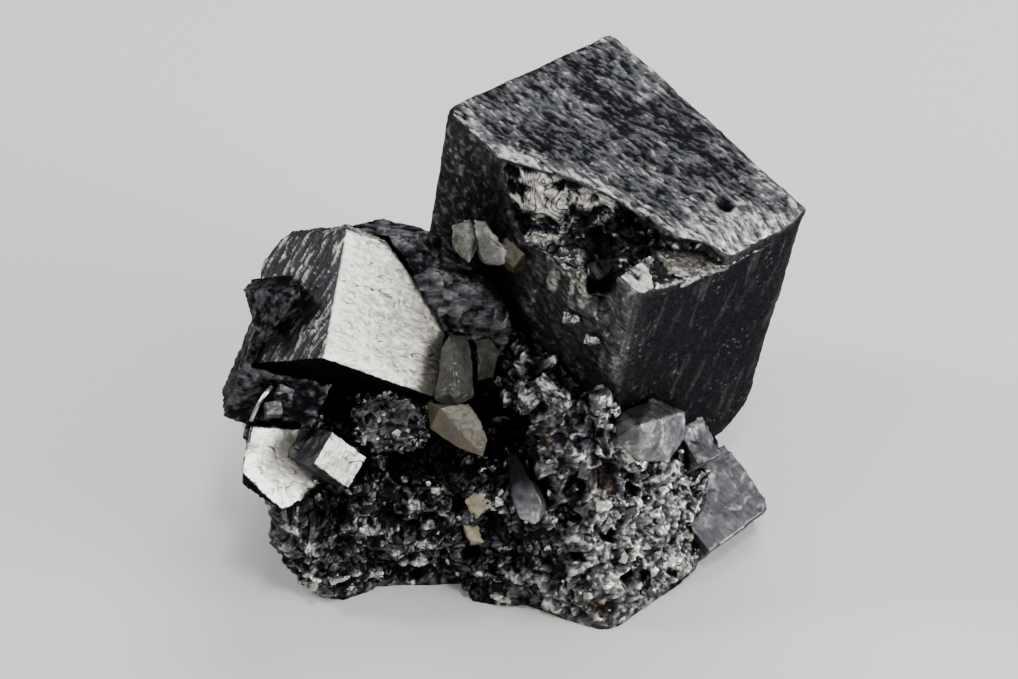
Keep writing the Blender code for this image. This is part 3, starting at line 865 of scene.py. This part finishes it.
def lay_matrix(points, normals, swell):
    """Skin of the druse: it swells up to the crystals and breaks into folds, grains and deep pits."""
    x, _, z = points.T
    floor = ramp(0.0, 0.8, z)
    folded = ramp(-0.8, 2.0, x) * floor
    swirl = curled(points, 2.2, 1.1, 171)
    folds = ridges(swirl, 1.4, 5, 181)
    lumps = rough(points, 3.0, 3, 185)
    near, name = cells(curled(points, 1.4, 0.4, 187), 0.6, 191)
    grains = np.clip(1 - near * 1.3, 0, 1)
    broken = facets(points, 0.9, 195)
    fine = facets(points, 0.4, 197)
    near_hole, hole_name = cells(swirl, 1.7, 201)
    pits = ramp(0.4, 0.12, near_hole) * (hole_name > 0.55)
    shift = 0.5 * lumps - 0.9 * pits + 0.16 * broken + 0.06 * fine
    shift += folded * (0.75 * (folds - 0.6) + 0.15 * (grains - 0.4))
    shift += (1 - folded) * (0.35 * (folds - 0.5) + 0.36 * (grains - 0.4) + 0.12 * (name - 0.5))
    patchy = rough(points, 2.2, 2, 205)
    near_patch, patch_name = cells(curled(points, 1.0, 0.3, 207), (1.5, 1.5, 1.2), 209)
    patches = ramp(0.42, 0.3, near_patch) * (patch_name > 0.5)
    shift += 0.2 * patches
    # Painted light and shade: glints on the fine facets, painted shade in the pits, and the folds painted
    # light on their crests and dark in their valleys.
    shade = freshness(points) + 0.5 * fine - 0.6 * pits + folded * (1.1 * (folds - 0.62) + 0.3 * broken)
    grainy = 0.25 * (name - 0.5) + 0.4 * (grains - 0.5) + 0.4 * (folds - 0.6)
    shade += 0.2 * patchy + (1 - folded) * grainy
    shade += (0.85 - 0.55 * folded) * patches
    # Each hole is sunk in and painted dark as shade.
    for place, radius in DRUSE_HOLES:
        hole = np.linalg.norm(points - np.array(place), axis=1) / radius
        shift -= floor * 1.3 * np.exp(-(hole**2) * 1.3)
        shade -= 1.2 * np.exp(-(hole**4))
    moved = points + normals * (swell + floor * shift)[:, None]
    moved[:, 2] = np.maximum(moved[:, 2], 0)
    return moved, shade


# ---- operators ----


def sizes():
    """The sizes set in the panel's property group."""
    return bpy.context.scene.acanthite_sizes


def build_crystal(node, grain, lay, material, slot, *arguments, centre=(0, 0, 0)):
    """Remeshes a node in its own axes about centre, lays its skin and hands it to the frame."""
    piece = remeshed(f"{node}_skin", own_copy(node), grain)
    middle = np.array(centre) @ axes_of(node)
    points, normals = points_and_normals(piece.data)
    moved, lustre, growth = lay(points - middle, normals, *arguments)
    set_points(piece.data, moved + middle)
    paint(piece.data, lustre, growth)
    finish_piece(piece, material, slot, node)


def build_row(crystals, grain, slot, first_seed):
    """Builds a table's crystals, each with its own seed."""
    for number, (node, (skin, made_of, *rest)) in enumerate(crystals.items()):
        seed = first_seed + number * SEED_STEP
        build_crystal(node, grain, skin, FINISHES[made_of], slot, seed, *rest)


def cut_by(bm, planes):
    """Cuts a closed bmesh by planes, each a point in mm and an outward normal, and closes it."""
    for point, normal in planes:
        everything = bm.verts[:] + bm.edges[:] + bm.faces[:]
        cut = bmesh.ops.bisect_plane(
            bm, geom=everything, plane_co=Vector(point) * MM, plane_no=Vector(normal), clear_outer=True
        )
        rim = [g for g in cut["geom_cut"] if isinstance(g, bmesh.types.BMEdge)]
        bmesh.ops.holes_fill(bm, edges=rim)


class ACANTHITE_OT_large_cube(bpy.types.Operator):
    """Build the large cube with its streaked top and hackly hollow"""

    bl_idname = "acanthite.large_cube"
    bl_label = "Large cube"

    def execute(self, context):
        size = sizes()
        centre = LARGE_CENTRE @ axes_of("large_cube")
        # Mesh size against the usual, height of the cut above the cube's middle, and the side of the
        # cut that goes: -1 below, 1 above.
        for name, fineness, level, way in (
            ("large_cube_top", 0.7, 4.3, -1),
            ("large_cube_body", 1.15, 4.6, 1),
        ):
            bm = own_copy("large_cube")
            cut_by(bm, [(centre + (0, 0, level), (0, 0, way))])
            piece = remeshed(name, bm, size.fine_grain * fineness)
            points, normals = points_and_normals(piece.data)
            points -= centre
            moved, lustre, growth = lay_large_cube(points, normals, size.edge_wear / MM)
            # Each piece is tucked a little under the other where they overlap.
            tuck = 0.06 * ramp(0.2, 0.0, way * (level - points[:, 2]))
            set_points(piece.data, moved - normals * (1, 1, 0) * tuck[:, None] + centre)
            paint(piece.data, lustre, growth)
            finish_piece(piece, FINISHES["growth face"], "acanthite_dark", "large_cube")
        return {"FINISHED"}


class ACANTHITE_OT_left_cube(bpy.types.Operator):
    """Build the cube with the bright face"""

    bl_idname = "acanthite.left_cube"
    bl_label = "Bright-faced cube"

    def execute(self, context):
        size = sizes()
        for node, made_of, fineness, centre, half, ragged in (
            ("left_cube", "bright face", 0.75, LEFT_CENTRE, LEFT_HALF, 0.0),
            ("lower_left_cube", "plate face", 0.6, PLATE_CENTRE, PLATE_HALF, 0.14),
        ):
            build_crystal(
                node,
                size.fine_grain * fineness,
                lay_left_cube,
                FINISHES[made_of],
                "acanthite_bright",
                size.edge_wear / MM,
                half,
                ragged,
                centre=centre,
            )
        return {"FINISHED"}


# Mesh size of the dark crystals and of the small ones, in metres as the frame has it.
DARK_GRAIN = 0.0001
SMALL_GRAIN = 0.00007
SEED_STEP = 20  # between one crystal's noise and the next one's
QUARTZ_HUMP = 0.9

# node: skin, finish, lustre from dull to bright, relief, hump size
DARK_CRYSTALS = {
    "bridge_crystal": (lay_plain, "growth face", (-0.1, 0.5), 0.22, 1.1),
    "left_spur": (lay_plain, "growth face", (-0.15, 0.35), 0.12, 0.8),
    "upper_left_block": (lay_plain, "growth face", (-0.15, 0.35), 0.16, 0.7),
    "slab_crystal": (lay_plain, "satin face", (0.3, 0.6), 0.1, 2.0),
    "right_chip": (lay_plain, "satin face", (0.3, 0.6), 0.16, 0.8),
    "right_prism": (lay_plain, "satin face", (0.38, 0.55), 0.16, 1.0),
    "tongue_crystal": (lay_tongue, "satin face", (-0.1, 0.6), 0.14, 0.8),
    "sparkly_nodule": (lay_plain, "growth face", (0.0, 0.5), 0.35, 0.6),
}
BRIGHT_CRYSTALS = {
    "lower_left_prism": (lay_prism, "bright face", (0.15, 0.9), 0.16, 0.9),
    "bright_blade_right": (lay_plain, "growth face", (-0.1, 0.9), 0.14, 0.5),
    "bright_blade_left": (lay_plain, "growth face", (-0.1, 0.8), 0.14, 0.5),
    "bright_facet_low": (lay_plain, "bright face", (0.4, 1.0), 0.07, 0.3),
    "bright_facet_high": (lay_plain, "bright face", (0.3, 1.0), 0.07, 0.3),
    "cubelet_left": (lay_plain, "bright face", (0.3, 0.7), 0.06, 0.4),
    "cubelet_right": (lay_plain, "bright face", (0.2, 0.6), 0.06, 0.4),
}
# node: finish, slot, relief
QUARTZ = {
    "smoky_prism": ("smoky", "quartz_smoky", 0.08),
    "grey_crystal": ("smoky", "quartz_smoky", 0.06),
    "ridge_chip_left": ("glassy", "quartz_smoky", 0.16),
    "ridge_chip_middle": ("glassy", "quartz_smoky", 0.16),
    "ridge_chip_tan": ("tan", "quartz_tan", 0.2),
    "tan_wedge": ("tan", "quartz_tan", 0.06),
    "calcite_bit_upper": ("cream", "calcite_cream", 0.3),
    "calcite_bit_lower": ("cream", "calcite_cream", 0.3),
}


class ACANTHITE_OT_dark_crystals(bpy.types.Operator):
    """Build the tarnished blocks and prisms round the cubes"""

    bl_idname = "acanthite.dark_crystals"
    bl_label = "Dark crystals"

    def execute(self, context):
        build_row(DARK_CRYSTALS, DARK_GRAIN, "acanthite_dark", 301)
        return {"FINISHED"}


class ACANTHITE_OT_bright_crystals(bpy.types.Operator):
    """Build the small bright crystals"""

    bl_idname = "acanthite.bright_crystals"
    bl_label = "Bright crystals"

    def execute(self, context):
        build_row(BRIGHT_CRYSTALS, SMALL_GRAIN, "acanthite_bright", 601)
        return {"FINISHED"}


class ACANTHITE_OT_quartz(bpy.types.Operator):
    """Build the quartz and calcite bits"""

    bl_idname = "acanthite.quartz"
    bl_label = "Quartz and calcite"

    def execute(self, context):
        for number, (node, (made_of, slot, relief)) in enumerate(QUARTZ.items()):
            seed = 901 + number * SEED_STEP
            look = FINISHES[made_of]
            build_crystal(node, SMALL_GRAIN, lay_plain, look, slot, seed, (0, 1), relief, QUARTZ_HUMP)
        return {"FINISHED"}


BACK_COARSER = 1.6  # how much larger the mesh is on the matrix's back

# The matrix is worked in three stretches that overlap a little, each cut from it by planes:
# (point, outward normal), in millimetres.
STRETCHES = {
    "matrix_front_right": [((-0.6, 0, 0), (-1, 0, 0)), ((0, -2.5, 0), (0, 1, 0))],
    "matrix_front_left": [((-0.4, 0, 0), (1, 0, 0)), ((0, -2.5, 0), (0, 1, 0))],
    "matrix_back": [((0, -2.7, 0), (0, -1, 0))],
}


class ACANTHITE_OT_matrix(bpy.types.Operator):
    """Build the drusy matrix and its scatter of tiny crystals"""

    bl_idname = "acanthite.matrix"
    bl_label = "Drusy matrix"

    def execute(self, context):
        size = sizes()
        for number, (name, planes) in enumerate(STRETCHES.items()):
            bm = own_copy("matrix")
            cut_by(bm, planes)
            coarser = BACK_COARSER if "back" in name else 1
            piece = remeshed(name, bm, size.matrix_grain * coarser)
            points, normals = points_and_normals(piece.data)
            moved, lustre = lay_matrix(points, normals, size.matrix_swell / MM)
            set_points(piece.data, moved)
            paint(piece.data, lustre)
            # Only the lump at the front right is rounded, and the rest keeps its sharp facets.
            finish_piece(piece, FINISHES["druse"], "matrix_druse", "matrix", smooth="right" in name)
            name = name.replace("matrix", "druse")
            scatter(name, piece, size.druse_crystals, size.druse_seed + number)
        return {"FINISHED"}


def scatter(name, ground, count, seed, span=(0.2, 0.75), lustre=None):
    """Tiny grains and a few cubes half sunk in the ground's skin, joined into one piece.

    span is the grains' smallest and largest size in millimetres. Where no lustre is given, the
    ground is the druse: its grains keep to clusters, leave its deep holes and its foot bare, and
    are as fresh as the druse is there.
    """
    chance = random.Random(seed)
    points, normals = points_and_normals(ground.data)
    cluster = rough(points, 2.0, 3, seed + 3)
    bm = bmesh.new()
    shine = []
    for _ in range(count):
        at = chance.randrange(len(points))
        height = points[at][2]
        deep = any(np.linalg.norm(points[at] - np.array(c)) < 0.9 * r for c, r in DRUSE_HOLES)
        if lustre is None and (height < 0.5 or deep or cluster[at] < chance.uniform(-0.3, 0.4)):
            continue
        size = span[0] + (span[1] - span[0]) * chance.random() ** 2.5
        sides = [size * chance.uniform(0.6, 1.5), size * chance.uniform(0.6, 1.1)]
        shape = Matrix.Diagonal([*sides, size, 1])
        lean = Vector(normals[at]).to_track_quat("Z", "Y").to_matrix().to_4x4()
        tips = [chance.uniform(-0.8, 0.8), chance.uniform(-0.8, 0.8), chance.uniform(0, 6.28)]
        twist = Euler(tips).to_matrix().to_4x4()
        place = Matrix.Translation(Vector(points[at])) @ lean @ twist @ shape
        place = Matrix.Diagonal((MM, MM, MM, 1)) @ place
        if chance.random() < 0.25:
            grain = bmesh.ops.create_cube(bm, size=0.9, matrix=place)["verts"]
        else:
            grain = bmesh.ops.create_icosphere(bm, subdivisions=1, radius=0.6, matrix=place)["verts"]
            for vert in grain:
                vert.co += Vector([chance.uniform(-0.14, 0.14) * size * MM for _ in range(3)])
        fresh = freshness(points[at : at + 1])[0] if lustre is None else lustre
        shine += [fresh + chance.choice((-0.3, -0.1, 0.1, 0.6))] * len(grain)
    made = bpy.data.meshes.new(name)
    bm.to_mesh(made)
    bm.free()
    piece = bpy.data.objects.new(name, made)
    bpy.context.scene.collection.objects.link(piece)
    paint(made, np.array(shine))
    finish_piece(piece, FINISHES["druse"], "matrix_druse", smooth=False)


class ACANTHITE_OT_nodule_grains(bpy.types.Operator):
    """Cover the round nodule with bright beads"""

    bl_idname = "acanthite.nodule_grains"
    bl_label = "Nodule grains"

    def execute(self, context):
        nodule = bpy.data.objects["sparkly_nodule_skin"]
        scatter("nodule_grains", nodule, 360, 77, span=(0.16, 0.5), lustre=0.45)
        return {"FINISHED"}


class ACANTHITE_OT_wire(bpy.types.Operator):
    """Finish the curl of native silver"""

    bl_idname = "acanthite.wire"
    bl_label = "Silver wire"

    def execute(self, context):
        # Drawn out as it grew: bright white metal, with greyer patches where it has tarnished.
        made, tree, shader, where = new_material("native silver, grown wire")
        shader.inputs["Metallic"].default_value = 1.0
        tint = add_node(
            tree,
            "ShaderNodeTexNoise",
            {"Scale": 1 / (WIRE_TINT_SIZE * MM), "Detail": 4.0},
            {"Vector": (where, "Object")},
        )
        tone = add_node(tree, "ShaderNodeValToRGB", {}, {0: (tint, 0)})
        set_ramp(tone, [(0.3, "#8b8880"), (0.7, "#dcd9d0")])
        tree.links.new(tone.outputs["Color"], shader.inputs["Base Color"])
        shader.inputs["Roughness"].default_value = 0.3
        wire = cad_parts["silver_wire"]
        for slot in wire.material_slots:
            slot.material = made
        return {"FINISHED"}


# name: (direction from the specimen, distance, width and height in metres, radiance)
LIGHTS = {
    "right_softbox": ((0.9, -0.34, 0.26), 0.28, 0.2, 0.12, 14.0),
    "back_softbox": ((0.2, 0.565, 0.8), 0.32, 0.22, 0.15, 6.0),
    "left_fill": ((-0.7, -0.6, 0.6), 0.36, 0.14, 0.14, 3.0),
    "top_lamp": ((0.1, -0.35, 0.93), 0.34, 0.05, 0.05, 45.0),
    "left_lamp": ((-0.75, 0.1, 0.65), 0.34, 0.05, 0.05, 45.0),
}


LIT_POINT = Vector((0, 0, 0.012))  # what the lights face
ROOM_COLOUR = "#e4e6ea"
ROOM_LIGHT = 0.42
FLOOR_HALF = 0.6
FLOOR_CENTRE = Vector((0, 0.1, -0.00002))  # a hair under the specimen's base
LENS = 100  # millimetres, on a sensor of 36 mm
SENSOR = 36
CAMERA_TILT = math.radians(40)
CAMERA_REACH = 0.1654
AIM = (0, -0.0055, 0.0155)  # what the camera looks at


class ACANTHITE_OT_stage(bpy.types.Operator):
    """Set the pale floor, the soft lights and the camera"""

    bl_idname = "acanthite.stage"
    bl_label = "Stage"

    def execute(self, context):
        scene = context.scene
        bm = bmesh.new()
        bmesh.ops.create_grid(bm, x_segments=1, y_segments=1, size=FLOOR_HALF)
        bmesh.ops.translate(bm, vec=FLOOR_CENTRE, verts=bm.verts)
        mesh = bpy.data.meshes.new("floor")
        bm.to_mesh(mesh)
        bm.free()
        floor = bpy.data.objects.new("floor", mesh)
        scene.collection.objects.link(floor)
        # Uncoated card: matt and even, so that only the specimen's own shadow shows on it.
        made, _, shader, _ = new_material("pale matt board")
        shader.inputs["Roughness"].default_value = 0.9
        shader.inputs["Specular IOR Level"].default_value = 0.2
        shader.inputs["Base Color"].default_value = (*scene.acanthite_colours.board, 1.0)
        mesh.materials.append(made)
        for name, (direction, distance, width, height, radiance) in LIGHTS.items():
            data = bpy.data.lights.new(name, "AREA")
            data.shape = "RECTANGLE"
            data.size, data.size_y = width, height
            data.energy = radiance * math.pi * width * height
            light = bpy.data.objects.new(name, data)
            towards = Vector(direction).normalized()
            light.location = LIT_POINT + towards * distance
            light.rotation_mode = "QUATERNION"
            light.rotation_quaternion = towards.to_track_quat("Z", "Y")
            scene.collection.objects.link(light)
        world = bpy.data.worlds.new("soft room")
        world.use_nodes = True
        background = world.node_tree.nodes["Background"]
        background.inputs["Color"].default_value = linear(ROOM_COLOUR)
        background.inputs["Strength"].default_value = ROOM_LIGHT
        scene.world = world
        data = bpy.data.cameras.new("camera")
        data.lens = LENS
        data.sensor_width = SENSOR
        data.clip_start = 0.005
        camera = bpy.data.objects.new("camera", data)
        back = CAMERA_REACH * math.cos(CAMERA_TILT)
        up = CAMERA_REACH * math.sin(CAMERA_TILT)
        camera.location = (AIM[0], AIM[1] - back, AIM[2] + up)
        camera.rotation_euler = (math.radians(90) - CAMERA_TILT, 0, 0)
        scene.collection.objects.link(camera)
        scene.camera = camera
        return {"FINISHED"}


OPERATORS = (
    ACANTHITE_OT_stage,
    ACANTHITE_OT_large_cube,
    ACANTHITE_OT_left_cube,
    ACANTHITE_OT_dark_crystals,
    ACANTHITE_OT_bright_crystals,
    ACANTHITE_OT_quartz,
    ACANTHITE_OT_matrix,
    ACANTHITE_OT_nodule_grains,
    ACANTHITE_OT_wire,
)


class ACANTHITE_PT_panel(bpy.types.Panel):
    """Lists the pieces of the specimen."""

    bl_idname = "ACANTHITE_PT_panel"
    bl_label = "Acanthite specimen"
    bl_space_type = "VIEW_3D"
    bl_region_type = "UI"
    bl_category = "Acanthite"

    def draw(self, context):
        for operator in OPERATORS:
            self.layout.operator(operator.bl_idname)


CLASSES = (AcanthiteSizes, AcanthiteColours, *OPERATORS, ACANTHITE_PT_panel)


def register():
    """Registers the classes and puts the property groups on the scene."""
    for one in CLASSES:
        bpy.utils.register_class(one)
    bpy.types.Scene.acanthite_sizes = PointerProperty(type=AcanthiteSizes)
    bpy.types.Scene.acanthite_colours = PointerProperty(type=AcanthiteColours)


def unregister():
    """Takes the property groups and the classes away again."""
    del bpy.types.Scene.acanthite_colours
    del bpy.types.Scene.acanthite_sizes
    for one in reversed(CLASSES):
        bpy.utils.unregister_class(one)


def main():
    """Builds the whole specimen."""
    register()
    make_finishes()
    bpy.ops.acanthite.stage()
    bpy.ops.acanthite.large_cube()
    bpy.ops.acanthite.left_cube()
    bpy.ops.acanthite.dark_crystals()
    bpy.ops.acanthite.bright_crystals()
    bpy.ops.acanthite.quartz()
    bpy.ops.acanthite.matrix()
    bpy.ops.acanthite.nodule_grains()
    bpy.ops.acanthite.wire()


if __name__ == "__main__":
    main()
